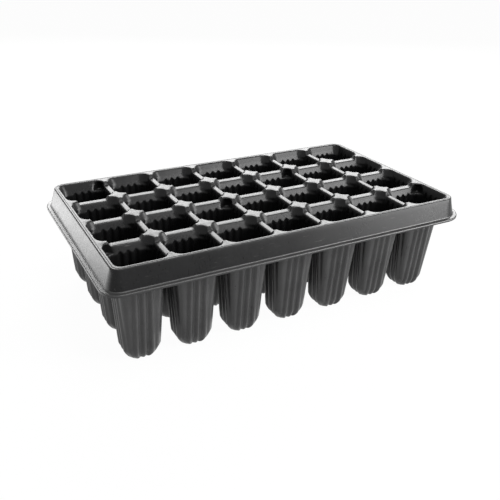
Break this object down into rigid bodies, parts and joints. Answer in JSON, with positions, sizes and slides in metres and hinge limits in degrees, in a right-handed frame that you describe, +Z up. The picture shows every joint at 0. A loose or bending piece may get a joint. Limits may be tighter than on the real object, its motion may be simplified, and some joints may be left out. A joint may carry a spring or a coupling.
{
  "type": "plug tray",
  "caption": "Deep seedling tray with tapered fluted cells that drain through their floors, a stepped deck of star-shaped webs, a flared skirt and a flat flange.",
  "frame": {"origin": "centre of the base, in the plane of the cell floors", "axes": "+X along the long side, to the right of someone who faces the long front side; +Y to the back; +Z up"},
  "size_m": [0.5304, 0.3106, 0.143],
  "materials": {
    "black_plastic": "black polystyrene sheet, satin, with light scuffs on its raised edges"
  },
  "bodies": {
    "root": {"rim_front": "black_plastic", "rim_back": "black_plastic", "rim_left": "black_plastic", "rim_right": "black_plastic", "skirt": "black_plastic", "bottom_flange": "black_plastic", "row_web_1": "black_plastic", "row_web_2": "black_plastic", "row_web_3": "black_plastic", "column_web_1": "black_plastic", "column_web_2": "black_plastic", "column_web_3": "black_plastic", "column_web_4": "black_plastic", "column_web_5": "black_plastic", "column_web_6": "black_plastic", "cell_r1_c1": "black_plastic", "cell_r1_c2": "black_plastic", "cell_r1_c3": "black_plastic", "cell_r1_c4": "black_plastic", "cell_r1_c5": "black_plastic", "cell_r1_c6": "black_plastic", "cell_r1_c7": "black_plastic", "cell_r2_c1": "black_plastic", "cell_r2_c2": "black_plastic", "cell_r2_c3": "black_plastic", "cell_r2_c4": "black_plastic", "cell_r2_c5": "black_plastic", "cell_r2_c6": "black_plastic", "cell_r2_c7": "black_plastic", "cell_r3_c1": "black_plastic", "cell_r3_c2": "black_plastic", "cell_r3_c3": "black_plastic", "cell_r3_c4": "black_plastic", "cell_r3_c5": "black_plastic", "cell_r3_c6": "black_plastic", "cell_r3_c7": "black_plastic", "cell_r4_c1": "black_plastic", "cell_r4_c2": "black_plastic", "cell_r4_c3": "black_plastic", "cell_r4_c4": "black_plastic", "cell_r4_c5": "black_plastic", "cell_r4_c6": "black_plastic", "cell_r4_c7": "black_plastic"}
  },
  "joints": []
}
